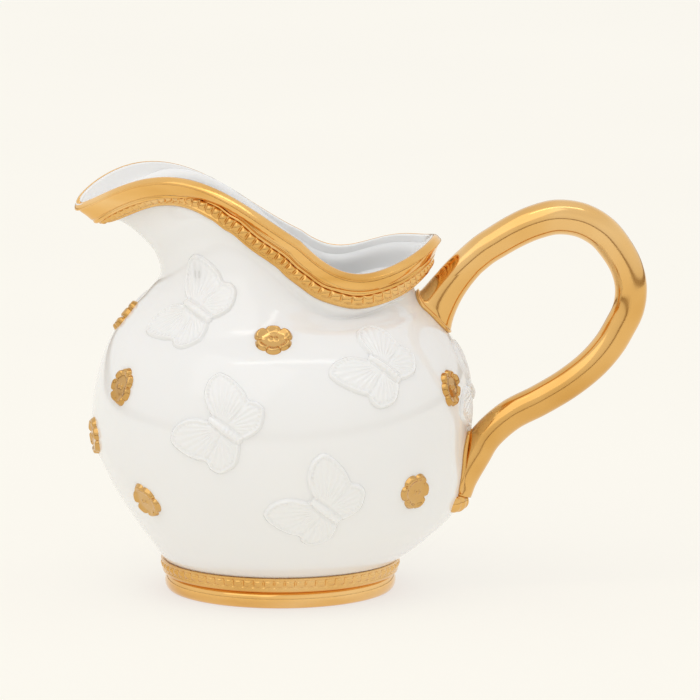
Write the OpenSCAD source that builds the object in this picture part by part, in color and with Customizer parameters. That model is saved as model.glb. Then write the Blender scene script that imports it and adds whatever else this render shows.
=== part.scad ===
// Porcelain cream jug: a pinched spout, a gilded rim and foot, a high loop handle,
// and white butterflies and gilded flowers pressed in relief on the bulb.
// Origin: centre of the face that the foot rests on. +X to the handle, -X to the spout, +Z up.

/* [Body] */
// Thickness of the wall of the bulb
wall = 3; // [2.4:0.1:3.4]
// Thickness of the wall at the lip
lip_wall = 2.2; // [1.8:0.1:2.6]
// Height of the rounded lip above the gilded band
lip_rise = 0.6; // [0.3:0.1:1]
// Height of the inner floor at its centre
floor_z = 8.6; // [8:0.1:9.4]

/* [Rim mouldings] */
// Width of the smooth band below the lip
band_w = 4.8; // [4.2:0.1:5]
// How far the edges of the band stand off the wall
band_out = 1.2; // [0.9:0.1:1.5]
// Extra width of the band at the tip of the spout
tip_extra = 1.6; // [0:0.1:2]
// Width of the beaded row below the band
row_w = 3.3; // [2.8:0.1:3.6]
// Number of beads round the rim
rim_beads = 104; // [60:1:110]
// How far a bead stands off the wall
bead_out = 1.5; // [1.1:0.1:1.8]

/* [Foot] */
// Radius of the smooth foot ring
foot_r = 28.8; // [28.2:0.1:29.2]
// Height of the smooth foot ring
foot_h = 4.1; // [3.4:0.1:4.4]
// Radius of the hollow under the foot
foot_hollow_r = 24; // [22.5:0.5:26]
// Radius of the beaded band above the foot ring
foot_band_r = 29.4; // [29.2:0.1:29.8]
// Top of the beaded band
foot_band_top = 7.9; // [7.5:0.1:8.2]
// Number of beads round the foot
foot_beads = 70; // [50:1:80]

/* [Handle] */
// Diameter of the handle
handle_d = 8.2; // [7.4:0.1:8.8]
// Extra diameter where the handle turns over at its top
handle_swell = 1; // [0:0.1:1.4]
// Width of the lip of the collar round the handle's upper end
collar_lip = 1.3; // [0.8:0.1:1.8]
// Radius of the scroll below the handle's lower end
scroll_r = 2.4; // [2:0.1:2.6]

/* [Reliefs] */
// Wing span of a butterfly
butterfly_span = 24; // [18:0.2:24.4]
// Height of a butterfly's wings above the wall
butterfly_h = 0.9; // [0.6:0.1:1.2]
// Diameter of a flower
flower_d = 9.6; // [8:0.2:10.4]
// Height of a flower above the wall
flower_h = 1.4; // [1:0.1:1.8]
// Number of petals of a flower
flower_petals = 8; // [6:1:9]

/* [Hidden] */
columns = 48;         // facets round the body
bead_steps = 3;       // facets round the rim and the foot for each bead
seam = 0.06;          // clay seam between a part and the wall it is stuck to
step = 0.001;         // step of the numeric slopes of the wall

// Stations of the outer wall, from the foot to the lip. Each is a ring:
// [height, reach to the spout, reach to the handle, half width, centre x, pinch, share of wave]
// The share of wave is how much of the lip's rise and fall the ring follows.
skin = [
    [7.9, 29.0, 29.5, 29.0, 0, 0, 0],
    [13.0, 32.6, 36.5, 35.0, 0, 0, 0],
    [20.0, 37.6, 43.6, 41.0, 0, 0, 0],
    [28.0, 42.4, 46.2, 44.8, 0, 0, 0],
    [37.0, 46.2, 46.6, 46.8, 0, 0, 0],
    [46.0, 46.8, 47.4, 47.0, 0, 0, 0],
    [55.0, 45.2, 46.4, 45.2, 0, 0, 0],
    [62.5, 42.4, 43.0, 40.5, 0, 0, 0.02],
    [68.5, 37.9, 38.6, 33.5, 0, 0.02, 0.05],
    [70.2, 33.2, 35.4, 29.0, 0.5, 0, 0.27],
    [71.3, 29.9, 33.8, 25.4, 1.5, 0, 0.5],
    [71.7, 30.4, 33.7, 23.8, 2.5, 0, 0.8],
    [73.6, 33.3, 36.2, 24.4, 3.5, 0.07, 0.97],
    [78.2, 39.5, 37.6, 23.9, 4.5, 0.45, 0.98],
    [79.1, 46.2, 38.4, 24.4, 5, 0.49, 0.99],
    [82.0, 50.7, 39.4, 24.9, 5, 0.53, 1]
];
top = len(skin) - 1;
neck = 8;             // station where the neck starts
// Rise and fall of the lip round the mouth, as a sum of cosines of one to seven turns, and a
// smaller sum of sines that makes the two sides differ
lip_low = 82;
lip_mean = 92.6;
lip_turns = [-9.25, 1.7, 5.5, -2.1, -0.65, 0.5, 0.15];
lip_twist = [-0.7, 0.35, 1.4, -0.9, -0.35];

// Centre line of the handle, from the shoulder over the top to the belly: [x, z]
handle_line = [
    [38.3, 71.5], [43.1, 78.2], [49.6, 84.4], [54, 87.4], [58.8, 90.2], [63.6, 92.3], [68.9, 93.5],
    [74.8, 92.7], [79.9, 89.8], [83.6, 85.4], [86.1, 80.8], [87.2, 75.8], [86.6, 70.6], [84.5, 66.1],
    [81.6, 61.3], [77.3, 56.5], [71.4, 51.9], [64.6, 47.9], [57.3, 44.2], [51.5, 39.2], [48.4, 34.3],
    [45.3, 29], [43.9, 25.6]
];
handle_steps = 2;     // rings of the handle for each point of its line
handle_sides = 16;
collar_z = 69.7;      // height of the middle of the collar
lean = 7;             // how far the handle's lower end leans to the side

// Butterflies on the wall: [angle round the body, height, heading]
// A heading of 90 looks up the wall, and one of 0 looks on round the body.
butterflies = [
    [234, 74.2, 154], [253.4, 48.2, 147], [306, 61.4, 131], [284, 27.8, 140], [358, 50, 145],
    [143, 72.5, 30], [134, 47, 33], [79, 61, 49], [101, 26.5, 40]
];
// Flowers on the wall: [angle round the body, height]
flowers = [
    [268, 68.5], [211, 55], [219, 27.3], [335, 54], [316, 30.2], [177.5, 68.5],
    [191, 40], [117, 68.5], [152, 54], [160, 27], [51, 54], [69, 29.5]
];

porcelain = [0.95, 0.94, 0.91];
gilding = [0.87, 0.67, 0.32];

// ---- curves and vectors ----

function unit(v) = v / norm(v);
function clamp(v, low, high) = min(max(v, low), high);

// A point at u on the smooth curve through the points p
function along(p, u) =
    let (n = len(p) - 1, i = clamp(floor(u), 0, n - 1), t = u - i)
    let (a = i > 0 ? p[i - 1] : 2 * p[0] - p[1])
    let (b = p[i], c = p[i + 1])
    let (d = i + 2 <= n ? p[i + 2] : 2 * p[n] - p[n - 1])
    0.5 * (2 * b + (c - a) * t + (2 * a - 5 * b + 4 * c - d) * t * t
        + (3 * b - 3 * c + d - a) * t * t * t);

// ---- the outer wall ----

function sum(v, i = 0) = i < len(v) ? v[i] + sum(v, i + 1) : 0;
function wave(a) =
    lip_mean - lip_low
    + sum([for (k = [0 : len(lip_turns) - 1]) lip_turns[k] * cos((k + 1) * a)])
    + sum([for (k = [0 : len(lip_twist) - 1]) lip_twist[k] * sin((k + 1) * a)]);

// A point of the outer wall: u counts stations from the foot, a is the angle round the ring
function wall_at(u, a) =
    let (s = along(skin, u), c = cos(a))
    let (reach = c > 0 ? s[2] - s[4] : s[1] + s[4])
    let (squeeze = c < 0 ? 1 - s[5] * c * c : 1)
    [s[4] + reach * c, s[3] * sin(a) * squeeze, s[0] + s[6] * wave(a)];
function slope_u(u, a) =
    let (low = max(u - step, 0), high = min(u + step, top))
    (wall_at(high, a) - wall_at(low, a)) / (high - low);
function slope_a(u, a) = (wall_at(u, a + 0.05) - wall_at(u, a - 0.05)) / 0.1;
function outward(u, a) = unit(cross(slope_a(u, a), slope_u(u, a)));
function off_wall(u, a, out) = wall_at(u, a) + out * outward(u, a);

// The station count at height z and angle a, by halving
function u_at(z, a, low = 0, high = 11, n = 18) =
    n == 0 ? (low + high) / 2
    : let (mid = (low + high) / 2)
        wall_at(mid, a)[2] < z ? u_at(z, a, mid, high, n - 1) : u_at(z, a, low, mid, n - 1);

// The changes of u and a that move a wall point by e, where p and r are the slopes there
function solved(e, p, r) =
    let (pp = p * p, pr = p * r, rr = r * r, det = pp * rr - pr * pr)
    [((e * p) * rr - (e * r) * pr) / det, ((e * r) * pp - (e * p) * pr) / det];

// [u, a] of the wall point nearest to q, stepped from a first guess
function nearest(q, u, a, n = 4) =
    n == 0 ? [u, a]
    : let (move = solved(q - wall_at(u, a), slope_u(u, a), slope_a(u, a)))
        nearest(q, clamp(u + move[0], 0, top), a + move[1], n - 1);

// x of the wall on the handle side, at the height z and the offset y from the middle plane
function back_x(y, z) =
    let (u = u_at(z, 0, 0, 10), s = along(skin, u))
    s[4] + (s[2] - s[4]) * sqrt(max(0, 1 - pow(y / s[3], 2)));

// ---- solids from rings ----

// Triangles between ring i and ring j of n points each
function stitch(i, j, n) = [
    for (k = [0 : n - 1])
        let (m = (k + 1) % n)
        each [[i * n + k, j * n + m, i * n + m], [i * n + k, j * n + k, j * n + m]]
];

// A solid through rings that turn the same way, closed by a point at each end
module loft(rings, first, last) {
    n = len(rings[0]);
    count = len(rings);
    low = n * count;
    caps = [
        for (k = [0 : n - 1])
            let (m = (k + 1) % n)
            each [[low, k, m], [low + 1, (count - 1) * n + m, (count - 1) * n + k]]
    ];
    sides = [for (i = [0 : count - 2]) each stitch(i, i + 1, n)];
    polyhedron([each [for (r = rings) each r], first, last], [each sides, each caps]);
}

// A solid round a closed row of closed sections, each listed against the clock
module hoop(row) {
    sections = turned(row);
    n = len(sections[0]);
    count = len(sections);
    polyhedron(
        [for (s = sections) each s],
        [for (i = [0 : count - 1]) each stitch(i, (i + 1) % count, n)]
    );
}

// The same rings with their points in the opposite order
function turned(rings) = [for (r = rings) [for (k = [len(r) - 1 : -1 : 0]) r[k]]];

// ---- the body ----

angles = [for (k = [0 : columns - 1]) k * 360 / columns];
outer_u = [each [0 : 0.5 : neck], each [for (k = [1 : 3 * (top - neck)]) neck + k / 3]];
inner_u = [each [for (k = [0 : 3 * (top - neck) - 1]) top - k / 3], each [neck : -0.5 : 1]];

// The inner wall: level with the lip at the top, square to the wall lower down
function inner_at(u, a) =
    let (n = outward(u, a), level = clamp((u - top + 3) / 3, 0, 1))
    let (t = wall + (lip_wall - wall) * clamp((u - neck) / (top - neck), 0, 1))
    wall_at(u, a) - t * unit([n[0], n[1], n[2] * (1 - level)]);
function flat_ring(r, z) = [for (a = angles) [r * cos(a), r * sin(a), z]];

module body_shell() {
    plug_r = 22;
    lip = [
        for (a = angles)
            (wall_at(top, a) + inner_at(top, a)) / 2 + [0, 0, lip_rise]
    ];
    rings = [
        flat_ring(plug_r, foot_h),
        flat_ring(plug_r, foot_band_top),
        each [for (u = outer_u) [for (a = angles) wall_at(u, a)]],
        lip,
        each [for (u = inner_u) [for (a = angles) inner_at(u, a)]],
        flat_ring(26, floor_z + 2.6),
        flat_ring(18, floor_z + 0.5)
    ];
    color(porcelain) loft(rings, [0, 0, foot_h], [0, 0, floor_z]);
}

module foot_ring() {
    bevel = 0.6;
    color(gilding) rotate_extrude($fn = 96) polygon([
        [foot_hollow_r, 0], [foot_r - bevel, 0], [foot_r, bevel],
        [foot_r - 0.2, foot_h - bevel], [foot_r - 0.6, foot_h], [foot_hollow_r, foot_h]
    ]);
}

// ---- the beaded band of the foot ----

function foot_section(a, lift) =
    let (r = foot_band_r, low = foot_h, high = foot_band_top, mid = (low + high) / 2)
    [
        for (p = [[22.1, low], [r - 1, low], [r + lift, mid], [r - 0.6, high], [22.1, high]])
            [p[0] * cos(a), p[0] * sin(a), p[1]]
    ];

module foot_bead_band() {
    steps = foot_beads * bead_steps;
    color(gilding) hoop([
        for (k = [0 : steps - 1])
            foot_section(k * 360 / steps, k % bead_steps == 0 ? 0 : 0.5)
    ]);
}

// ---- the mouldings of the rim ----

// The way down the wall from the lip at angle a, square to the lip except at the spout's tip.
// It is two tables by distance: the station count, and the angle.
path_step = 0.75;
path_steps = 13;
function down_move(u, a, way, share) =
    let (p = slope_u(u, a), r = slope_a(u, a), n = unit(cross(r, p)))
    solved(path_step * unit((1 - share) * cross(way, n) - share * unit(p)), p, r);
function down_path(start) =
    let (way = unit(wall_at(top, start + 0.5) - wall_at(top, start - 0.5)))
    let (share = pow(max(0, -cos(start)), 6))
    [
        for (
            i = 0, u = top, a = start;
            i <= path_steps;
            i = i + 1, move = down_move(u, a, way, share), u = u + move[0], a = a + move[1]
        ) [i * path_step, u, a]
    ];
function down_tables(a) =
    let (path = down_path(a))
    [[for (p = path) [p[0], p[1]]], [for (p = path) [p[0], p[2]]]];
// A section point: [distance down the wall, distance off the wall]
function at_drop(tables, point) =
    off_wall(lookup(point[0], tables[0]), lookup(point[0], tables[1]), point[1]);
function tip(a) = pow(max(0, -cos(a)), 16);
function band_bottom(a) = band_w + tip_extra * tip(a);

// Angles that are evenly spaced along the lip, not round the centre
lip_samples = 180;
function lip_lengths() = [
    for (
        i = 0, p = wall_at(top - 1, 0), d = 0, a = 0;
        i <= lip_samples;
        i = i + 1, a = i * 360 / lip_samples, q = wall_at(top - 1, a), d = d + norm(q - p), p = q
    ) [d, a]
];
lip_table = lip_lengths();
lip_length = lip_table[lip_samples][0];
function lip_angle(share) = lookup(share * lip_length, lip_table);

function band_section(a) =
    let (w = band_bottom(a), o = band_out * (1 + 0.5 * tip(a)), tables = down_tables(a))
    [
        for (p = [[0.2, seam], [w, seam], [w - 0.1, o], [w * 0.6, o * 0.6], [0.9, o], [0.3, o * 0.8]])
            at_drop(tables, p)
    ];

module rim_band() {
    steps = 120;
    color(gilding) hoop([for (k = [0 : steps - 1]) band_section(lip_angle(k / steps))]);
}

function row_section(a, lift) =
    let (t = band_bottom(a) + 0.1, b = t + row_w * (1 - 0.4 * tip(a)), tables = down_tables(a))
    [
        for (p = [[t, seam], [b, seam], [b - 0.4, 0.7], [(t + b) / 2 - 0.3, lift], [t + 0.1, 0.7]])
            at_drop(tables, p)
    ];

module rim_bead_row() {
    steps = rim_beads * bead_steps;
    color(gilding) hoop([
        for (k = [0 : steps - 1])
            row_section(lip_angle(k / steps), k % bead_steps == 0 ? 0.8 : bead_out)
    ]);
}

// ---- the handle ----

function handle_radius(u) =
    let (turn = (u - 6) / 3.5)
    handle_d / 2 + handle_swell / 2 * exp(-turn * turn);
function handle_way(u) =
    unit(along(handle_line, min(u + 0.05, len(handle_line) - 1)) - along(handle_line, max(u - 0.05, 0)));

// How far the handle leans to the side at u
function side(u) = -lean * pow(clamp((u - 8) / (len(handle_line) - 9), 0, 1), 2);

// A ring round the handle's centre line, kept out of the wall of the body
function handle_ring(u, grow = 0) =
    let (c = along(handle_line, u), w = handle_way(u), r = handle_radius(u) + grow)
    [
        for (k = [0 : handle_sides - 1])
            let (a = k * 360 / handle_sides, s = r * cos(a), y = r * sin(a) + side(u))
            let (x = c[0] + s * w[1], z = c[1] - s * w[0])
            let (near = u > 17 ? back_x(y, z) + 0.1 : x)
            [max(x, near), y, z]
    ];
function centre3(u) = let (c = along(handle_line, u)) [c[0], side(u), c[1]];

module handle() {
    last = len(handle_line) - 1;
    rings = [for (u = [0 : 1 / handle_steps : last]) handle_ring(u)];
    color(gilding) loft(rings, centre3(0), centre3(last) + [0.4, 0, 0]);
}

// The collar: a lip that spreads from the handle's end on to the shoulder
module handle_upper_collar() {
    thick = 1.2;
    half = handle_d / 2 + collar_lip;
    foot_points = [
        for (k = [0 : handle_sides - 1])
            let (a = k * 360 / handle_sides, y = half * sin(a), z = collar_z - half * cos(a))
            [back_x(y, z) + 2 * seam, y, z]
    ];
    lip_points = [for (p = foot_points) p + [thick, 0, thick / 2]];
    foot_centre = [back_x(0, collar_z) + 2 * seam, 0, collar_z];
    color(gilding) loft([foot_points, lip_points, handle_ring(0, 0.4)], foot_centre, centre3(0));
}

// The border: a thin roll on the belly round the handle's lower end
border = [[0, 41.2], [2.6, 39.6], [4.6, 36.0], [5.6, 31.5], [5.8, 27.4]];
// Its middle leans with the handle: less at its top than at its bottom, 27 high
function border_side(z) = 0.9 - lean + 0.15 * (z - 27);
module handle_lower_flange() {
    thick = 1.3;
    last = len(border) - 1;
    path = [
        for (u = [-last : 0.5 : last])
            let (p = along(border, abs(u)), y = (u < 0 ? -p[0] : p[0]) + border_side(p[1]))
            [back_x(y, p[1]) + thick / 2 + 2 * seam, y, p[1]]
    ];
    rings = [
        for (i = [0 : len(path) - 1])
            let (way = unit(path[min(i + 1, len(path) - 1)] - path[max(i - 1, 0)]))
            let (side = unit(cross(way, [1, 0, 0])), up = cross(side, way))
            [for (a = [0 : 60 : 300]) path[i] + thick / 2 * (cos(a) * side + sin(a) * up)]
    ];
    color(gilding) loft(turned(rings), path[0], path[len(path) - 1]);
}

// The scroll: a ribbed roll across the belly under the handle's end
module handle_scroll() {
    width = 7.5;
    ribs = 3;
    z = 21.9;
    x = back_x(-lean, z) + scroll_r + 0.2;
    rib_w = width / ribs;
    color(gilding) translate([x, -lean, z]) rotate([90, 0, 0]) rotate_extrude($fn = 48) polygon([
        [0, -width / 2],
        for (k = [0 : ribs - 1])
            each [for (t = [0 : 0.25 : 0.75])
                [scroll_r - 0.5 + 0.5 * sin(180 * t), -width / 2 + (k + t) * rib_w]],
        [scroll_r - 0.5, width / 2], [0, width / 2]
    ]);
}

// ---- the reliefs ----

// Half of a butterfly's outline for a span of 22.4: [towards the head, sideways]
wing = [
    [4.6, 0.6], [6.7, 1.7], [9.1, 3.6], [10.7, 7], [10.2, 10.3], [8.1, 11.2], [4.8, 11], [1.7, 10.2],
    [-0.6, 9.2], [-2.6, 10], [-5.2, 9.3], [-7, 5.6], [-6.2, 2.4], [-5.2, 0.6]
];
wing_outline = [each wing, each [for (k = [len(wing) - 1 : -1 : 0]) [wing[k][0], -wing[k][1]]]];

function flower_edge(a) = flower_d / 2 * (0.84 + 0.16 * abs(sin(a * flower_petals / 2)));
flower_outline = [for (a = [0 : 15 : 359]) flower_edge(a) * [cos(a), sin(a)]];

// A relief on the wall at [u, a]: rings are [share of the outline, height above the wall]
module relief(outline, place, heading, rings) {
    p = wall_at(place[0], place[1]);
    n = outward(place[0], place[1]);
    east = unit(cross([0, 0, 1], n));
    north = cross(n, east);
    ahead = cos(heading) * east + sin(heading) * north;
    aside = cross(n, ahead);
    points = [
        for (r = rings) [
            for (o = outline)
                let (q = p + r[0] * (o[0] * ahead + o[1] * aside))
                let (w = nearest(q, place[0], place[1]))
                off_wall(w[0], w[1], r[1])
        ]
    ];
    loft(points, p + rings[0][1] * n, p + rings[len(rings) - 1][1] * n);
}

module butterfly(i) {
    b = butterflies[i];
    k = butterfly_span / 22.4;
    outline = [for (o = wing_outline) k * o];
    place = [u_at(b[1], b[0]), b[0]];
    h = butterfly_h;
    color(porcelain) relief(outline, place, b[2],
        [[0.5, seam], [1, seam], [0.95, 0.7 * h], [0.8, h], [0.4, h]]);
}

module flower(i) {
    f = flowers[i];
    place = [u_at(f[1], f[0]), f[0]];
    color(gilding) relief(flower_outline, place, 17 * i,
        [[0.5, seam], [1, seam], [0.9, 0.8 * flower_h], [0.6, flower_h], [0.3, 0.7 * flower_h]]);
}

body_shell();
foot_ring();
foot_bead_band();
rim_band();
rim_bead_row();
handle();
handle_upper_collar();
handle_lower_flange();
handle_scroll();
for (i = [0 : len(butterflies) - 1])
    butterfly(i);
for (i = [0 : len(flowers) - 1])
    flower(i);
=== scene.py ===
# Porcelain cream jug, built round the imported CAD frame. The jug's lengths are in
# millimetres, and make_piece turns them into metres. The floor, the lights and the
# camera are in metres.
import math

import bpy
import numpy as np
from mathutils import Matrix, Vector


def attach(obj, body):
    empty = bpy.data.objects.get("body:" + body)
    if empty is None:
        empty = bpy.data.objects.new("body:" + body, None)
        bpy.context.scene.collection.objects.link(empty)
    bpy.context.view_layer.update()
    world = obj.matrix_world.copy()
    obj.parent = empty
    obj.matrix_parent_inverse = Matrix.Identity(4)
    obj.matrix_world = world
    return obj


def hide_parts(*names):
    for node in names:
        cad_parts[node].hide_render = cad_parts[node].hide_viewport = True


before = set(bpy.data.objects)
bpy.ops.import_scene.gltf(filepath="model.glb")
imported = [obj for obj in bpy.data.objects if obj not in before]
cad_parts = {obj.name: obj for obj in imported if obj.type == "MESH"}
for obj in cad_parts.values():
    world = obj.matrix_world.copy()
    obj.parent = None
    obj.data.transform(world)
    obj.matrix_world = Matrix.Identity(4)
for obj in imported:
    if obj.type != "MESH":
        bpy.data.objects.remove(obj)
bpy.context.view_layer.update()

MM = 0.001

# ------------------------------------------------------------------ the outer wall

# Stations of the wall from the foot to the lip, as in the CAD model: height, reach to the
# spout, reach to the handle, half width, centre x, pinch, share of the lip's wave
SKIN = np.array([
    [7.9, 29.0, 29.5, 29.0, 0, 0, 0],
    [13.0, 32.6, 36.5, 35.0, 0, 0, 0],
    [20.0, 37.6, 43.6, 41.0, 0, 0, 0],
    [28.0, 42.4, 46.2, 44.8, 0, 0, 0],
    [37.0, 46.2, 46.6, 46.8, 0, 0, 0],
    [46.0, 46.8, 47.4, 47.0, 0, 0, 0],
    [55.0, 45.2, 46.4, 45.2, 0, 0, 0],
    [62.5, 42.4, 43.0, 40.5, 0, 0, 0.02],
    [68.5, 37.9, 38.6, 33.5, 0, 0.02, 0.05],
    [70.2, 33.2, 35.4, 29.0, 0.5, 0, 0.27],
    [71.3, 29.9, 33.8, 25.4, 1.5, 0, 0.5],
    [71.7, 30.4, 33.7, 23.8, 2.5, 0, 0.8],
    [73.6, 33.3, 36.2, 24.4, 3.5, 0.07, 0.97],
    [78.2, 39.5, 37.6, 23.9, 4.5, 0.45, 0.98],
    [79.1, 46.2, 38.4, 24.4, 5, 0.49, 0.99],
    [82.0, 50.7, 39.4, 24.9, 5, 0.53, 1],
])
TOP = len(SKIN) - 1
# Stations where the neck starts, and where it is narrowest
NECK = 8
THROAT = 11
LIP_LOW = 82.0
LIP_MEAN = 92.6
# The wave of the lip's height: cosines, then sines, of 1, 2, 3 and more times the angle
LIP_TURNS = [-9.25, 1.7, 5.5, -2.1, -0.65, 0.5, 0.15]
LIP_TWIST = [-0.7, 0.35, 1.4, -0.9, -0.35]
WALL = 3.0
LIP_WALL = 2.2
LIP_RISE = 0.6
FLOOR_Z = 8.6
# How deep the hidden edge of a moulding or of the handle goes into the wall
SUNK = 0.15


def along(points, u):
    """Points at the places u on the smooth curve through the control points."""
    p = np.asarray(points, float)
    n = len(p) - 1
    u = np.asarray(u, float)
    i = np.clip(np.floor(u).astype(int), 0, n - 1)
    t = (u - i)[..., None]
    ends = np.vstack([2 * p[0] - p[1], p, 2 * p[n] - p[n - 1]])
    a, b, c, d = ends[i], ends[i + 1], ends[i + 2], ends[i + 3]
    return 0.5 * (2 * b + (c - a) * t + (2 * a - 5 * b + 4 * c - d) * t**2
                  + (3 * b - 3 * c + d - a) * t**3)


def smooth(x, low, high):
    """0 below low, 1 above high, and smooth between."""
    t = np.clip((x - low) / (high - low), 0, 1)
    return t * t * (3 - 2 * t)


def bump(x, centre, width):
    """A bell: 1 at the centre, and about a third at the width."""
    return np.exp(-((x - centre) / width) ** 2)


def dome(x):
    """A half circle: 1 at 0, and 0 from 1 outwards."""
    return np.sqrt(np.clip(1 - x ** 2, 0, 1))


def unit(v):
    return v / np.linalg.norm(v, axis=-1, keepdims=True)


def round_angles(count):
    return np.linspace(0, 2 * math.pi, count, endpoint=False)


def lengths_along(points):
    """The length of a path up to each of its points."""
    steps = np.linalg.norm(np.diff(points, axis=0), axis=1)
    return np.concatenate([[0], np.cumsum(steps)])


def stations(u):
    """The columns of SKIN at the places u."""
    return np.moveaxis(along(SKIN, u), -1, 0)


def wave(a):
    """Height of the lip above its lowest level at the angle a."""
    turns = sum(h * np.cos((k + 1) * a) for k, h in enumerate(LIP_TURNS))
    twist = sum(h * np.sin((k + 1) * a) for k, h in enumerate(LIP_TWIST))
    return LIP_MEAN - LIP_LOW + turns + twist


def wall_at(u, a):
    """Points of the outer wall: u counts stations from the foot, a is the ring's angle."""
    u, a = np.broadcast_arrays(np.asarray(u, float), np.asarray(a, float))
    z, front, back, half, cx, pinch, share = stations(u)
    c = np.cos(a)
    reach = np.where(c > 0, back - cx, front + cx)
    squeeze = 1 - np.where(c < 0, pinch * c * c, 0)
    return np.stack([cx + reach * c, half * np.sin(a) * squeeze, z + share * wave(a)], -1)


def slopes(u, a):
    """How far a wall point moves for one unit of u, and for one of a."""
    step = 1e-3
    low, high = np.clip(u - step, 0, TOP), np.clip(u + step, 0, TOP)
    su = (wall_at(high, a) - wall_at(low, a)) / (high - low)[..., None]
    sa = (wall_at(u, a + step) - wall_at(u, a - step)) / (2 * step)
    return su, sa


def outward(u, a):
    """Directions square to the wall, away from the jug."""
    u, a = np.broadcast_arrays(np.asarray(u, float), np.asarray(a, float))
    su, sa = slopes(u, a)
    return unit(np.cross(sa, su))


def solved(e, su, sa):
    """The changes of u and a that move a wall point by e, from the slopes there."""
    uu, ua, aa = (su * su).sum(-1), (su * sa).sum(-1), (sa * sa).sum(-1)
    eu, ea = (e * su).sum(-1), (e * sa).sum(-1)
    det = uu * aa - ua * ua
    return (eu * aa - ea * ua) / det, (ea * uu - eu * ua) / det


def nearest(q, u, a, rounds=6):
    """u and a of the wall points nearest to the points q."""
    u = np.full(q.shape[:-1], float(u))
    a = np.full(q.shape[:-1], float(a))
    for _ in range(rounds):
        du, da = solved(q - wall_at(u, a), *slopes(u, a))
        u, a = np.clip(u + du, 0, TOP), a + da
    return u, a


def u_at(z, a, rounds=30):
    """u of the wall point at the height z and the angle a, up to the throat."""
    low, high = 0.0, float(THROAT)
    for _ in range(rounds):
        mid = (low + high) / 2
        low, high = (mid, high) if wall_at(mid, a)[2] < z else (low, mid)
    return (low + high) / 2


# Places up the handle side of the wall, and their heights
BACK_U = np.linspace(0, THROAT - 1, 400)
BACK_Z = wall_at(BACK_U, 0.0)[:, 2]


def back_x(y, z):
    """x of the wall on the handle side, at the offset y from the middle and the height z."""
    _, _, back, half, cx, _, _ = stations(np.interp(z, BACK_Z, BACK_U))
    return cx + (back - cx) * dome(y / half)


# ------------------------------------------------------------------ meshes

def make_piece(name, points, faces, material, slot, *nodes):
    """A smooth mesh piece, in metres, that stands for the CAD nodes."""
    mesh = bpy.data.meshes.new(name)
    mesh.from_pydata((np.asarray(points) * MM).tolist(), [], faces)
    mesh.validate()
    mesh.polygons.foreach_set("use_smooth", [True] * len(mesh.polygons))
    mesh.materials.append(material)
    piece = bpy.data.objects.new(name, mesh)
    bpy.context.scene.collection.objects.link(piece)
    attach(piece, "root")
    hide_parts(*nodes)
    return piece


def quads(rows, columns, wrap_rows=False):
    """Faces of a grid whose columns wrap round."""
    faces = []
    for i in range(rows if wrap_rows else rows - 1):
        j = (i + 1) % rows
        for k in range(columns):
            m = (k + 1) % columns
            faces.append((i * columns + k, i * columns + m, j * columns + m, j * columns + k))
    return faces


def loft(rings, first, last):
    """Points and faces of a solid through rings, closed by a fan at each end."""
    rings = np.asarray(rings)
    rows, columns = rings.shape[:2]
    points = np.vstack([rings.reshape(-1, 3), [first], [last]])
    faces = quads(rows, columns)
    first_at, last_at = rows * columns, rows * columns + 1
    last_row = (rows - 1) * columns
    for k in range(columns):
        m = (k + 1) % columns
        faces.append((first_at, m, k))
        faces.append((last_at, last_row + k, last_row + m))
    return points, faces


def hoop(sections):
    """Points and faces of a solid round a closed row of closed sections."""
    sections = np.asarray(sections)
    rows, columns = sections.shape[:2]
    return sections.reshape(-1, 3), quads(rows, columns, wrap_rows=True)


def turned(radius, z, a):
    """Points about the jug's upright axis."""
    return np.stack([radius * np.cos(a), radius * np.sin(a), z + 0 * a], -1)


# ------------------------------------------------------------------ materials

def new_material(name):
    material = bpy.data.materials.new(name)
    material.use_nodes = True
    nodes = material.node_tree.nodes
    return material, nodes, material.node_tree.links, nodes["Principled BSDF"]


def noise(nodes, links, scale, detail, stretch=(1, 1, 1)):
    """Noise in the object's own space, so it stays on the piece."""
    place = nodes.new("ShaderNodeTexCoord")
    mapping = nodes.new("ShaderNodeMapping")
    mapping.inputs["Scale"].default_value = stretch
    texture = nodes.new("ShaderNodeTexNoise")
    texture.inputs["Scale"].default_value = scale
    texture.inputs["Detail"].default_value = detail
    links.new(place.outputs["Object"], mapping.inputs["Vector"])
    links.new(mapping.outputs["Vector"], texture.inputs["Vector"])
    return texture.outputs["Fac"]


def ramp(nodes, links, value, stops):
    """A colour ramp over a value: stops are (position, colour)."""
    node = nodes.new("ShaderNodeValToRGB")
    elements = node.color_ramp.elements
    elements[0].position, elements[0].color = stops[0][0], (*stops[0][1], 1)
    elements[1].position, elements[1].color = stops[-1][0], (*stops[-1][1], 1)
    for position, colour in stops[1:-1]:
        elements.new(position).color = (*colour, 1)
    links.new(value, node.inputs["Fac"])
    return node.outputs["Color"]


def spread(nodes, links, value, low, high):
    """A value between low and high that follows a 0 to 1 value."""
    node = nodes.new("ShaderNodeMapRange")
    node.inputs["To Min"].default_value = low
    node.inputs["To Max"].default_value = high
    links.new(value, node.inputs["Value"])
    return node.outputs["Result"]


def add_bump(nodes, links, shader, height, strength, distance):
    node = nodes.new("ShaderNodeBump")
    node.inputs["Strength"].default_value = strength
    node.inputs["Distance"].default_value = distance
    links.new(height, node.inputs["Height"])
    links.new(node.outputs["Normal"], shader.inputs["Normal"])


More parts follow.
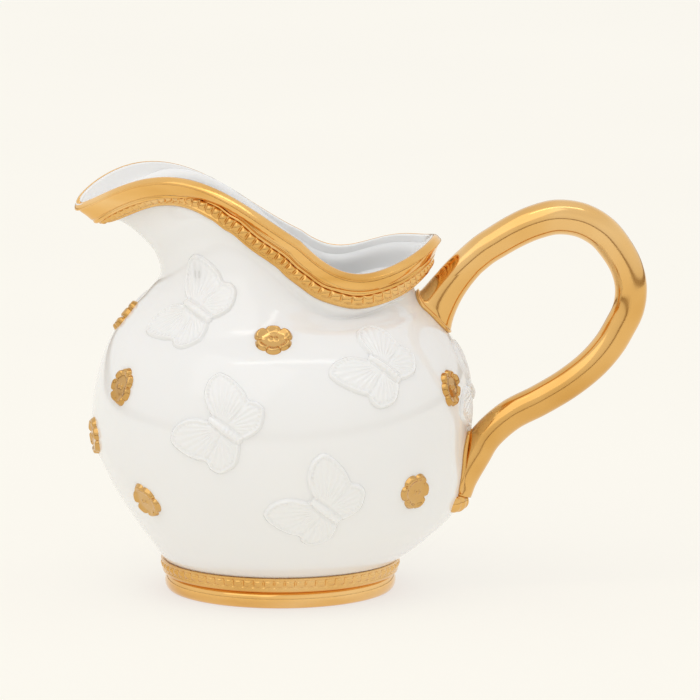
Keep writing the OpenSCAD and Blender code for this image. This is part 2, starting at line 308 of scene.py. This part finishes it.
def porcelain_material():
    """White glazed porcelain: a clear gloss glaze that pools and ripples a little."""
    material, nodes, links, shader = new_material("porcelain_glaze")
    cloud = noise(nodes, links, 22, 3)
    tint = ramp(nodes, links, cloud, [
        (0.30, (0.862, 0.860, 0.856)), (0.52, (0.875, 0.872, 0.866)), (0.75, (0.882, 0.878, 0.868))])
    links.new(tint, shader.inputs["Base Color"])
    fine = noise(nodes, links, 240, 4)
    links.new(spread(nodes, links, fine, 0.06, 0.15), shader.inputs["Roughness"])
    add_bump(nodes, links, shader, noise(nodes, links, 70, 2), 0.05, 0.0006)
    shader.inputs["IOR"].default_value = 1.52
    shader.inputs["Coat Weight"].default_value = 0.25
    shader.inputs["Coat Roughness"].default_value = 0.05
    shader.inputs["Subsurface Weight"].default_value = 0.12
    shader.inputs["Subsurface Radius"].default_value = (1.0, 0.85, 0.7)
    shader.inputs["Subsurface Scale"].default_value = 0.0012
    return material


def gilding_material(name, streak, shade=1.0):
    """Burnished gold laid on by brush: soft streaks, and thin warm places."""
    material, nodes, links, shader = new_material(name)
    cloud = noise(nodes, links, 30, 3, streak)
    tones = [(0.28, (0.66, 0.34, 0.07)), (0.44, (0.77, 0.44, 0.13)), (0.56, (0.81, 0.48, 0.16)),
             (0.72, (0.86, 0.56, 0.24))]
    # shade scales every tone, to make lit and shaded copies of the same gold: painted light and painted
    # shade.
    tint = ramp(nodes, links, cloud, [(at, [shade * c for c in colour]) for at, colour in tones])
    links.new(tint, shader.inputs["Base Color"])
    fine = noise(nodes, links, 420, 5, streak)
    links.new(spread(nodes, links, fine, 0.07, 0.19), shader.inputs["Roughness"])
    add_bump(nodes, links, shader, noise(nodes, links, 190, 3, streak), 0.05, 0.0004)
    shader.inputs["Metallic"].default_value = 1.0
    shader.inputs["Coat Weight"].default_value = 0.35
    shader.inputs["Coat Roughness"].default_value = 0.05
    return material


PORCELAIN = porcelain_material()
GILDING = gilding_material("gold_lustre", (1, 1, 1))
# The rim's and the foot's gold is the same gold brightened to 1.07: a painted highlight that stands in
# for the brighter reflections there.
GILDING_ROUND = gilding_material("gold_lustre_brushed_round_painted_bright", (1, 1, 4), 1.07)
# The flowers' gold is the same gold darkened to 0.82: painted shade that stands in for the darker
# reflections seen in the flowers.
GILDING_FLOWER = gilding_material("gold_lustre_painted_shade", (1, 1, 1), 0.82)


# ------------------------------------------------------------------ the body

def build_body():
    """The cast wall with its lip, its inside and its underside, as one closed skin."""
    columns, fine = 360, 14
    angles = round_angles(columns)
    level = np.concatenate([np.linspace(0, NECK, NECK * fine, endpoint=False),
                            np.linspace(NECK, TOP, (TOP - NECK) * fine + 1)])
    outer = wall_at(level[:, None], angles[None])

    # The inside: over the last stations its thickness is measured level, to suit the lip
    inner_u = level[level >= 1][::-1]
    normal = outward(inner_u[:, None], angles[None])
    last = 3
    flat = np.clip((inner_u - TOP + last) / last, 0, 1)[:, None]
    thick = WALL + (LIP_WALL - WALL) * np.clip((inner_u - NECK) / (TOP - NECK), 0, 1)
    way = unit(np.stack([normal[..., 0], normal[..., 1], normal[..., 2] * (1 - flat)], -1))
    inner = wall_at(inner_u[:, None], angles[None]) - thick[:, None, None] * way

    lip = lip_arc(outer[-1], inner[0], np.linspace(0, 180, 13)[1:-1])

    # The floor rounds into the wall
    edge = inner[-1]
    floor = []
    for s in np.linspace(0, 1, 26)[1:-1]:
        r = 1 - s
        drop = (edge[:, 2] - FLOOR_Z) * (r ** 3)
        floor.append(np.stack([edge[:, 0] * r, edge[:, 1] * r, FLOOR_Z + drop], -1))

    # The underside, and the stub that stands inside the foot's two bands
    stub = [(4, 4.15), (12, 4.15), (19, 4.15), (21.6, 4.15), (22, 4.6), (22, 7.6), (24, 7.75)]
    bottom = [turned(r, z, angles) for r, z in stub]
    rings = [*bottom, *outer, *lip, *inner, *floor]
    points, faces = loft(rings, (0, 0, stub[0][1]), (0, 0, FLOOR_Z))
    return make_piece("jug_body", points, faces, PORCELAIN, "porcelain", "body_shell")


def lip_arc(outer_edge, inner_edge, degrees):
    """Rings over the rounded lip, from the outer edge at 0 degrees to the inner at 180."""
    centre = (outer_edge + inner_edge) / 2
    half = (outer_edge - inner_edge) / 2
    rings = []
    for d in np.radians(degrees):
        rings.append(centre + half * math.cos(d) + np.array([0, 0, LIP_RISE]) * math.sin(d))
    return rings


# ------------------------------------------------------------------ the rim mouldings

BAND_W = 4.8
ROW_W = 3.3
ROW_GAP = 0.02
RIM_BEADS = 104
RIM_BEAD_RISE = 0.84
# At the spout's tip the band is wider, the beads' row is narrower, and both stand out more
TIP_EXTRA = 1.6
TIP_BAND_RISE = 0.55
TIP_BEAD_RISE = 0.15
TIP_ROW_CUT = 0.4
# Lengths along the lip over which a moulding's base and its direction are averaged
EASE_BASE = 1.2
EASE_NORMAL = 3.0


def near_spout(a, sharpness):
    """1 at the spout's tip, and less to both sides."""
    return np.clip(-np.cos(a), 0, 1) ** sharpness


def tip(a):
    return near_spout(a, 16)


def band_width(a):
    return BAND_W + TIP_EXTRA * tip(a)


def bead_rise(count, steps, fill):
    """A row of round beads, with the steps for each: fill is the share that a bead takes up."""
    phase = (np.arange(count * steps) % steps) / steps * 2 - 1
    return dome(phase / fill)


def lip_angles(count):
    """Angles that are evenly spaced along the lip."""
    samples = 1441
    a = np.linspace(0, 2 * math.pi, samples)
    length = lengths_along(wall_at(TOP - 1.0, a))
    return np.interp(np.arange(count) / count * length[-1], length, a)


def down_paths(a, step=0.5, count=20):
    """The way down the wall from the lip, square to the lip except at the spout's tip.

    Returns the distances, and at each of them u and the angle for every start angle a.
    """
    turn = 0.01
    way = unit(wall_at(TOP, a + turn) - wall_at(TOP, a - turn))
    share = near_spout(a, 6)[:, None]
    u, at = np.full(len(a), float(TOP)), a.copy()
    us, ats = [u], [at]
    for _ in range(count):
        su, sa = slopes(u, at)
        n = unit(np.cross(sa, su))
        down = unit((1 - share) * np.cross(way, n) - share * unit(su))
        du, da = solved(step * down, su, sa)
        u, at = u + du, at + da
        us.append(u)
        ats.append(at)
    return np.arange(count + 1) * step, np.array(us), np.array(ats)


def moulding(angles, drops, outs):
    """Sections at the angles: drops down the wall and heights off it, both rows x points."""
    distance, us, ats = down_paths(angles)
    u = np.array([np.interp(drops[i], distance, us[:, i]) for i in range(len(angles))])
    a = np.array([np.interp(drops[i], distance, ats[:, i]) for i in range(len(angles))])
    spacing = np.linalg.norm(np.diff(wall_at(TOP, angles), axis=0), axis=1).mean()
    base = eased(wall_at(u, a), EASE_BASE / spacing)
    normal = unit(eased(outward(u, a), EASE_NORMAL / spacing))
    return base + outs[..., None] * normal


def eased(rows, width):
    """Closed rows of points, each averaged softly with its neighbours."""
    reach = int(3 * width)
    weights = np.exp(-0.5 * (np.arange(-reach, reach + 1) / width) ** 2)
    weights /= weights.sum()
    return sum(w * np.roll(rows, k - reach, axis=0) for k, w in enumerate(weights))


def build_rim_band():
    """The smooth band: a raised edge at the top, a hollow side and a small roll below."""
    angles = lip_angles(520)
    # Shares of the band's width, and the height off the wall there
    profile = [(0.00, 0.30), (0.02, 0.56), (0.05, 0.80), (0.09, 0.92), (0.13, 0.86), (0.155, 0.60),
               (0.175, 0.38), (0.20, 0.42), (0.26, 0.56), (0.36, 0.56), (0.50, 0.52), (0.64, 0.56),
               (0.74, 0.66), (0.79, 0.70), (0.815, 0.42), (0.835, 0.40), (0.86, 0.78), (0.90, 1.00),
               (0.95, 1.02), (0.985, 0.94), (1.00, 0.78), (1.00, -SUNK)]
    share, height = np.array(profile).T
    drops = band_width(angles)[:, None] * share[None]
    outs = height[None] * (1 + TIP_BAND_RISE * tip(angles))[:, None]
    outs[:, -1] = -SUNK
    sections = moulding(angles, drops, outs)

    # The gold turns over the outer half of the lip
    outer = wall_at(float(TOP), angles)
    flat_normal = outward(float(TOP), angles) * np.array([1, 1, 0])
    inner = outer - LIP_WALL * unit(flat_normal)
    lift = np.array([0, 0, 0.06])
    over = [ring + lift for ring in lip_arc(outer, inner, [108, 88, 66, 42])]
    hidden = lip_arc(outer, inner, [80])[0] - np.array([0, 0, 0.5])
    rings = [*over, *np.moveaxis(sections, 1, 0), hidden]
    points, faces = hoop(np.stack(rings, axis=1))
    return make_piece("rim_gold_band", points, faces, GILDING_ROUND, "gilding", "rim_band")


def build_rim_beads():
    """The row of beads below the band, on a strip with a small roll at its lower edge."""
    steps = 12
    angles = lip_angles(RIM_BEADS * steps)
    bead = bead_rise(RIM_BEADS, steps, 0.92)
    # Shares of the row's width, and the height off the wall between the beads
    profile = [(0.00, -SUNK), (0.00, 0.62), (0.04, 0.62), (0.08, 0.60), (0.14, 0.56), (0.21, 0.53),
               (0.29, 0.50), (0.37, 0.48), (0.45, 0.48), (0.52, 0.48), (0.58, 0.50), (0.63, 0.56),
               (0.68, 0.70), (0.75, 0.88), (0.83, 0.92), (0.90, 0.80), (0.95, 0.60), (1.00, 0.30),
               (1.00, -SUNK)]
    share, height = np.array(profile).T
    across = dome((share - 0.34) / 0.31)
    lift = RIM_BEAD_RISE * bead[:, None] * across[None]
    near_tip = tip(angles)[:, None]
    start = (band_width(angles) + ROW_GAP)[:, None]
    drops = start + ROW_W * (1 - TIP_ROW_CUT * near_tip) * share[None]
    outs = height[None] + lift * (1 + TIP_BEAD_RISE * near_tip)
    points, faces = hoop(moulding(angles, drops, outs))
    return make_piece("rim_gold_beads", points, faces, GILDING, "gilding", "rim_bead_row")


# ------------------------------------------------------------------ the foot

FOOT_H = 4.1
FOOT_BEADS = 70
FOOT_BEAD_RISE = 0.8


def build_foot_ring():
    # Radius and height, round the ring's section
    profile = [(24.1, 0.15), (24.5, 0.0), (26.9, 0.0), (27.5, 0.04), (28.05, 0.25), (28.45, 0.7),
               (28.7, 1.3), (28.8, 2.0), (28.78, 2.7), (28.65, 3.2), (28.45, 3.6), (28.2, 3.9),
               (28.0, FOOT_H), (24.3, FOOT_H), (24.0, 3.9), (24.0, 0.6)]
    points, faces = hoop([turned(r, z, round_angles(256)) for r, z in profile])
    return make_piece("foot_gold_ring", points, faces, GILDING_ROUND, "gilding", "foot_ring")


def build_foot_beads():
    steps = 14
    angles = round_angles(FOOT_BEADS * steps)
    bead = bead_rise(FOOT_BEADS, steps, 0.94)
    # Height up the band, radius between the beads, and how much of a bead's height is there
    profile = [(4.12, 22.3, 0), (4.12, 28.1, 0), (4.18, 28.5, 0), (4.3, 28.9, 0), (4.55, 29.25, 0),
               (4.9, 29.45, 0), (5.25, 29.42, 0), (5.5, 29.25, 0.05), (5.65, 29.12, 0.35),
               (5.85, 29.05, 0.7), (6.15, 29.05, 0.94), (6.5, 29.1, 1), (6.8, 29.15, 0.9),
               (7.05, 29.25, 0.62), (7.2, 29.4, 0.25), (7.32, 29.62, 0), (7.5, 29.8, 0),
               (7.75, 29.82, 0), (7.9, 29.7, 0), (7.95, 29.4, 0), (7.95, 22.3, 0)]
    rings = [turned(r + FOOT_BEAD_RISE * share * bead, z, angles) for z, r, share in profile]
    points, faces = hoop(rings)
    return make_piece("foot_gold_beads", points, faces, GILDING, "gilding", "foot_bead_band")


# ------------------------------------------------------------------ the handle

# 0.3 mm thinner than the CAD's handle, with 0.2 mm less swell at the top, to suit the photo
HANDLE_D = 7.9
HANDLE_SWELL = 0.8
# Centre line of the handle from the shoulder over the top to the belly, as in the CAD model
HANDLE_LINE = np.array([
    [38.3, 71.5], [43.1, 78.2], [49.6, 84.4], [54, 87.4], [58.8, 90.2], [63.6, 92.3], [68.9, 93.5],
    [74.8, 92.7], [79.9, 89.8], [83.6, 85.4], [86.1, 80.8], [87.2, 75.8], [86.6, 70.6], [84.5, 66.1],
    [81.6, 61.3], [77.3, 56.5], [71.4, 51.9], [64.6, 47.9], [57.3, 44.2], [51.5, 39.2], [48.4, 34.3],
    [45.3, 29], [43.9, 25.6]])
HANDLE_LAST = len(HANDLE_LINE) - 1
# Places along that line: the top of the loop, where the lean starts, and the lower end
HANDLE_TOP = 6
LEAN_FROM = 8
LOWER_END = 17
LEAN = 7.0
COLLAR_Z = 69.7
COLLAR_LIP = 1.35
BORDER_R = 0.62
BORDER_OUT = 0.35
SCROLL_R = 2.45
SCROLL_W = 8.4
SCROLL_Y = -9.3
SCROLL_Z = 23.2


def handle_radius(u):
    return HANDLE_D / 2 + HANDLE_SWELL / 2 * bump(u, HANDLE_TOP, 3.5)


def side(u):
    """How far the handle leans to the side at u."""
    return -LEAN * np.clip((u - LEAN_FROM) / (HANDLE_LAST - LEAN_FROM), 0, 1) ** 2


def handle_rings(u, sides, grow=0.0):
    """Round sections of the handle at u. Near the lower end they stop at the wall."""
    u = np.atleast_1d(u).astype(float)
    centre = along(HANDLE_LINE, u)
    step = 0.05
    way = unit(along(HANDLE_LINE, np.clip(u + step, 0, HANDLE_LAST))
               - along(HANDLE_LINE, np.clip(u - step, 0, HANDLE_LAST)))
    a = round_angles(sides)
    r = (handle_radius(u) + grow)[:, None]
    s, y = r * np.cos(a), r * np.sin(a) + side(u)[:, None]
    x = centre[:, :1] + s * way[:, 1:]
    z = centre[:, 1:] - s * way[:, :1]
    low = u > LOWER_END
    x[low] = np.maximum(x[low], back_x(y[low], z[low]) - SUNK)
    return np.stack([x, y, z], -1)


def centre_of(u):
    x, z = along(HANDLE_LINE, float(u))
    return np.array([x, side(u), z])


def build_handle():
    u = np.linspace(0, HANDLE_LAST, 280)
    rings = handle_rings(u, 56)
    points, faces = loft(rings, centre_of(0), centre_of(HANDLE_LAST) + np.array([0.4, 0, 0]))
    return make_piece("gold_handle", points, faces, GILDING, "gilding", "handle")


def build_collar():
    """The handle's upper end spreads into a lip that lies on the shoulder."""
    sides = 72
    a = round_angles(sides)
    half = HANDLE_D / 2 + COLLAR_LIP

    def on_shoulder(reach, out):
        y = reach * half * np.sin(a)
        z = COLLAR_Z - reach * half * np.cos(a)
        return np.stack([back_x(y, z) + out, y, z + out * 0.5], -1)

    lip = [(0.97, -0.3), (1.0, 0.05), (1.03, 0.3), (1.03, 0.55), (1.0, 0.75), (0.95, 0.85),
           (0.915, 0.9), (0.895, 1.05)]
    rings = [on_shoulder(reach, out) for reach, out in lip]
    # From the lip the collar narrows like a trumpet into the handle, and ends just inside it
    edge = rings[-1]
    start, length, inside = 0.35, 1.6, 0.14
    for t in np.linspace(0, 1, 12)[1:]:
        tube = handle_rings(start + length * t, sides, -inside * t)[0]
        blend = 1 - (1 - t) ** 2.2
        rings.append(edge * (1 - blend) + tube * blend)
    foot = np.array([back_x(0.0, COLLAR_Z) - 0.3, 0, COLLAR_Z])
    points, faces = loft(rings, foot, centre_of(start + length))
    return make_piece("handle_gold_collar", points, faces, GILDING, "gilding", "handle_upper_collar")


def tube_along(path, radius, sides):
    """Rings of a thin roll along a path of points."""
    path = np.asarray(path, float)
    way = unit(np.gradient(path, axis=0))
    # Not quite straight out from the belly, so that the path never points the same way
    out = [1.0, 0.02, 0.01]
    across = unit(np.cross(way, out))
    up = np.cross(across, way)
    a = round_angles(sides)[None, :, None]
    return path[:, None] + radius * (np.cos(a) * across[:, None] + np.sin(a) * up[:, None])


def border_side(z):
    """The middle of the border at the height z: it leans with the handle."""
    return 0.9 - LEAN + 0.15 * (z - 27)


def build_border():
    """The thin roll on the belly round the handle's lower end."""
    # Half of it, from its top to its bottom: distance from the middle, and height
    border = np.array([[0, 40.6], [2.5, 39.2], [4.4, 35.9], [5.3, 31.4], [5.3, 27.9], [4.5, 26.2],
                       [2.0, 25.4]])
    last = len(border) - 1
    u = np.linspace(-last, last, 181)
    line = along(border, np.abs(u))
    z = line[:, 1]
    y = np.where(u < 0, -line[:, 0], line[:, 0]) + border_side(z)
    path = np.stack([back_x(y, z) + BORDER_OUT, y, z], -1)
    rings = tube_along(path, BORDER_R, 14)
    points, faces = loft(rings, path[0], path[-1])
    return make_piece("handle_gold_border", points, faces, GILDING, "gilding", "handle_lower_flange")


def build_scroll():
    """Three round ribs side by side that curl under the handle's end."""
    ribs, groove, turn = 3, 0.85, math.radians(24)
    t = np.linspace(-1, 1, 121)
    a = round_angles(56)
    rib = np.abs(np.sin((t + 1) * ribs * math.pi / 2))
    crown = np.sqrt(np.clip(1 - np.abs(t) ** 3.2, 0.03, 1))
    r = ((SCROLL_R - groove + groove * np.sqrt(rib)) * crown)[:, None]
    across = r * np.cos(a)
    sideways = t[:, None] * SCROLL_W / 2
    x = back_x(SCROLL_Y, SCROLL_Z) - 0.1 + across * math.cos(turn) - sideways * math.sin(turn)
    y = SCROLL_Y - across * math.sin(turn) - sideways * math.cos(turn)
    rings = np.stack([x, y, SCROLL_Z + r * np.sin(a)], -1)
    points, faces = loft(rings, rings[0].mean(0), rings[-1].mean(0))
    return make_piece("handle_gold_scroll", points, faces, GILDING, "gilding", "handle_scroll")


# ------------------------------------------------------------------ the reliefs

# Angle round the jug and height, and for a butterfly the way its head points, in degrees
BUTTERFLIES = [
    (234, 74.2, 154), (253.4, 48.2, 147), (306, 61.4, 131), (284, 27.8, 140), (358, 50, 145),
    (143, 72.5, 30), (134, 47, 33), (79, 61, 49), (101, 26.5, 40)]
FLOWERS = [
    (268, 68.5), (211, 55), (219, 27.3), (335, 54), (316, 30.2), (177.5, 68.5),
    (191, 40), (117, 68.5), (152, 54), (160, 27), (51, 54), (69, 29.5)]
BUTTERFLY_SPAN = 24.0
FLOWER_R = 4.75
# How deep a relief's edge and the middle of its back go into the wall
RELIEF_EDGE_SUNK = 0.35
RELIEF_BACK_SUNK = 0.8
# Half of a butterfly's outline: towards the head, sideways
WING = np.array([
    [4.6, 0.6], [6.7, 1.7], [9.1, 3.6], [10.7, 7], [10.2, 10.3], [8.1, 11.2], [4.8, 11], [1.7, 10.2],
    [-0.6, 9.2], [-2.6, 10], [-5.2, 9.3], [-7, 5.6], [-6.2, 2.4], [-5.2, 0.6]])


def closed_curve(points, count):
    """Evenly spaced points on the smooth closed curve through the control points."""
    n = len(points)
    looped = np.vstack([points[-2:], points, points[:3]])
    fine = 8
    dense = along(looped, np.linspace(2, 2 + n, count * fine + 1))
    length = lengths_along(dense)
    s = np.arange(count) / count * length[-1]
    return np.stack([np.interp(s, length, dense[:, i]) for i in (0, 1)], -1)


def edge_distance(points, outline):
    """Distance of points from the outline, and the place along it of the nearest point."""
    nxt = np.roll(outline, -1, axis=0)
    way = nxt - outline
    size = (way ** 2).sum(-1)
    lengths = lengths_along(outline)
    best = np.full(len(points), np.inf)
    place = np.zeros(len(points))
    for i in range(len(outline)):
        t = np.clip(((points - outline[i]) @ way[i]) / size[i], 0, 1)
        gap = np.linalg.norm(points - outline[i] - t[:, None] * way[i], axis=1)
        closer = gap < best
        best = np.where(closer, gap, best)
        place = np.where(closer, lengths[i] + t * math.sqrt(size[i]), place)
    return best, place


def wing_height(p, outline):
    """Height above the wall of the butterfly's top, at the flat places p."""
    d, s = edge_distance(p, outline)
    u, v = p[:, 0], np.abs(p[:, 1])
    plate = 0.58 * smooth(d, -0.1, 0.75)
    plate = plate + 0.16 * bump(d, 0.70, 0.36) - 0.12 * bump(d, 1.35, 0.38)
    # Fluted veins that fan out from the root of each wing
    split = u + 0.2 + 0.05 * v
    fore = smooth(split, -0.5, 0.5)
    fore_angle = np.arctan2(v - 0.3, u - 0.8)
    hind_angle = np.arctan2(v - 0.3, u - 0.2)
    flute = fore * np.cos(36 * fore_angle) + (1 - fore) * np.cos(34 * hind_angle)
    reach = np.hypot(u, v)
    field = smooth(reach, 2.0, 5.0) * smooth(d, 1.4, 2.3)
    plate = plate + 0.065 * flute * field
    # A row of dots along the margin
    dots = bump(d, 1.35, 0.30) * smooth(np.cos(s * 2 * math.pi / 1.32), 0.0, 0.9)
    plate = plate + 0.17 * dots * smooth(v, 2.5, 4.5)
    # The crease between the fore wing and the hind wing
    plate = plate - 0.24 * bump(split, 0, 0.378) * smooth(v, 1.0, 3.0) * smooth(d, 0.1, 0.8)
    # The ringed body lies over the wings, in a gutter
    taper = dome((u - 0.1) / 5.6)
    half = 0.35 + 0.75 * taper * (1 - 0.045 * (u - 1))
    hill = dome(v / half) * taper
    rings = 1 + 0.05 * np.cos(u * 2 * math.pi / 1.15) * smooth(-u, -1.5, 0.5)
    gutter = 0.22 * bump(v, half + 0.25, 0.3) * (taper > 0)
    return np.maximum(plate - gutter, 1.35 * hill * rings)


def relief(name, outline, height_of, place, heading, rows, material, slot, node):
    """A relief that follows the wall: rings shrink from the outline to the middle."""
    u0, a0 = place
    p = wall_at(u0, a0)
    n = outward(u0, a0)
    east = unit(np.cross([0, 0, 1.0], n))
    north = np.cross(n, east)
    ahead = math.cos(heading) * east + math.sin(heading) * north
    aside = np.cross(n, ahead)
    shares = 1 - np.linspace(0, 1, rows, endpoint=False)
    flat = shares[:, None, None] * outline[None]
    height = height_of(flat.reshape(-1, 2)).reshape(rows, -1)
    height[0] = 0.0
    target = p + flat[..., :1] * ahead + flat[..., 1:] * aside
    u, a = nearest(target, u0, a0)
    base, normal = wall_at(u, a), outward(u, a)
    top_rings = base + height[..., None] * normal
    sunk = base[0] - RELIEF_EDGE_SUNK * normal[0]
    middle = p + height_of(np.zeros((1, 2)))[0] * n
    points, faces = loft([sunk, *top_rings], p - RELIEF_BACK_SUNK * n, middle)
    return make_piece(name, points, faces, material, slot, node)


def butterfly_outline():
    scale = BUTTERFLY_SPAN / (2 * WING[:, 1].max())
    other_half = WING[::-1] * np.array([1, -1])
    return closed_curve(scale * np.vstack([WING, other_half]), 420)


def build_butterflies():
    outline = butterfly_outline()
    for i, (angle, z, heading) in enumerate(BUTTERFLIES):
        a = math.radians(angle)
        relief(f"relief_butterfly_{i + 1}", outline, lambda p: wing_height(p, outline), (u_at(z, a), a),
               math.radians(heading), 56, PORCELAIN, "porcelain", f"butterfly_{i + 1}")


def petal_beat(a, petals, turn):
    """0 between two petals, and 1 at the middle of each."""
    return np.abs(np.sin((a + turn) * petals / 2))


def flower_height(p, petals, turn):
    """Cupped petals with raised edges round a ringed eye."""
    a = np.arctan2(p[:, 1], p[:, 0])
    r = np.hypot(p[:, 0], p[:, 1])
    s = r / flower_edge(a, petals, turn)
    beat = petal_beat(a, petals, turn)
    rise = 0.52 * smooth(1 - s, 0, 0.13)
    lip = 0.56 * bump(s, 0.80, 0.15) * (0.45 + 0.55 * smooth(beat, 0.05, 0.7))
    tilt = 0.10 * np.sin(a + 1.7 * turn) * s + 0.07 * np.sin(3 * a + 2.3 * turn) * smooth(s, 0.3, 0.8)
    groove = -0.22 * (1 - smooth(beat, 0.0, 0.42)) * smooth(s, 0.55, 0.85)
    eye = 0.42 * np.exp(-(np.hypot(p[:, 0] - 0.62, p[:, 1]) / 0.42) ** 2)
    eye = eye + 0.42 * np.exp(-(np.hypot(p[:, 0] + 0.62, p[:, 1] - 0.1) / 0.42) ** 2)
    return rise + lip + (tilt + groove) * smooth(1 - s, 0, 0.1) + eye


def flower_edge(a, petals, turn):
    """Radius of the outline at the angle a, a little uneven as if pressed by hand."""
    beat = petal_beat(a, petals, turn)
    wobble = 1 + 0.04 * np.sin(3 * a + 5 * turn) + 0.035 * np.cos(2 * a - 3 * turn)
    return FLOWER_R * (0.84 + 0.16 * beat ** 0.55) * wobble


def build_flowers():
    for i, (angle, z) in enumerate(FLOWERS):
        petals = 6 + i % 2
        turn = 0.9 * i
        t = round_angles(192)
        edge = flower_edge(t, petals, turn)
        outline = np.stack([edge * np.cos(t), edge * np.sin(t)], -1)
        a = math.radians(angle)
        relief(f"relief_flower_{i + 1}", outline, lambda p: flower_height(p, petals, turn),
               (u_at(z, a), a), 0.0, 36, GILDING_FLOWER, "gilding", f"flower_{i + 1}")


# ------------------------------------------------------------------ floor, light and camera

FLOOR_R = 1.7
JUG_MIDDLE = (0, 0, 0.05)
WARM_WHITE = (1.0, 0.99, 0.97)
CAMERA_DISTANCE = 2.2
CAMERA_ELEVATION = math.radians(10)
# Width of the picture at the jug, and how far the jug's origin lies left of and below its middle
PICTURE_W = 0.175
ORIGIN_LEFT = 0.0174
ORIGIN_BELOW = 0.0591


def build_floor():
    """A pale paper disc that glows a little, so that it stays as even as in the photo."""
    mesh = bpy.data.meshes.new("floor")
    ring = turned(FLOOR_R, 0, round_angles(96))
    mesh.from_pydata(ring.tolist(), [], [tuple(range(len(ring)))])
    material, nodes, links, shader = new_material("floor_paper")
    cloud = noise(nodes, links, 6, 2)
    tint = ramp(nodes, links, cloud, [(0.3, (0.345, 0.312, 0.215)), (0.7, (0.355, 0.322, 0.223))])
    links.new(tint, shader.inputs["Base Color"])
    shader.inputs["Emission Color"].default_value = (0.95, 0.96, 1.0, 1)
    shader.inputs["Emission Strength"].default_value = 0.635
    shader.inputs["Roughness"].default_value = 0.9
    shader.inputs["Specular IOR Level"].default_value = 0.1
    mesh.materials.append(material)
    floor = bpy.data.objects.new("floor", mesh)
    bpy.context.scene.collection.objects.link(floor)


def build_world():
    """A bright studio that turns a dark, warm brown at the horizon."""
    world = bpy.data.worlds.new("studio")
    world.use_nodes = True
    nodes, links = world.node_tree.nodes, world.node_tree.links
    place = nodes.new("ShaderNodeTexCoord")
    split = nodes.new("ShaderNodeSeparateXYZ")
    links.new(place.outputs["Generated"], split.inputs["Vector"])
    tint = ramp(nodes, links, split.outputs["Z"], [
        (0.0, (0.34, 0.26, 0.18)), (0.035, (0.40, 0.32, 0.24)), (0.06, (0.88, 0.87, 0.85)),
        (0.40, (0.96, 0.955, 0.94)), (0.70, (0.90, 0.895, 0.885)), (1.0, (0.96, 0.96, 0.955))])
    background = nodes["Background"]
    background.inputs["Strength"].default_value = 1.0
    links.new(tint, background.inputs["Color"])
    bpy.context.scene.world = world


def soft_light(name, place, target, size, power, colour):
    light = bpy.data.lights.new(name, "AREA")
    light.shape = "RECTANGLE"
    light.size, light.size_y = size
    light.energy = power
    light.color = colour
    lamp = bpy.data.objects.new(name, light)
    lamp.location = place
    aim(lamp, target)
    bpy.context.scene.collection.objects.link(lamp)


def aim(thing, target):
    """Turns a camera or a light towards the target."""
    way = Vector(target) - Vector(thing.location)
    thing.rotation_euler = way.to_track_quat("-Z", "Y").to_euler()


def build_camera():
    """A long lens that looks at the jug square on, from a little above."""
    right = np.array([1.0, 0.0, 0.0])
    back = np.array([0.0, -math.cos(CAMERA_ELEVATION), math.sin(CAMERA_ELEVATION)])
    up = np.cross(back, right)
    target = ORIGIN_LEFT * right + ORIGIN_BELOW * up
    camera = bpy.data.cameras.new("camera")
    camera.sensor_width = 36
    camera.lens = camera.sensor_width * CAMERA_DISTANCE / PICTURE_W
    camera.clip_end = 20
    eye = bpy.data.objects.new("camera", camera)
    eye.location = target + CAMERA_DISTANCE * back
    aim(eye, target)
    bpy.context.scene.collection.objects.link(eye)
    bpy.context.scene.camera = eye


build_camera()
build_world()
build_floor()
soft_light("key_softbox", (-0.55, -0.75, 1.25), JUG_MIDDLE, (1.3, 1.3), 2.6, WARM_WHITE)
soft_light("top_strip", (0.05, -0.25, 1.3), JUG_MIDDLE, (1.0, 0.10), 0.55, WARM_WHITE)
bpy.context.scene.view_settings.view_transform = "Standard"

build_body()
build_rim_band()
build_rim_beads()
build_foot_ring()
build_foot_beads()
build_handle()
build_collar()
build_border()
build_scroll()
build_butterflies()
build_flowers()
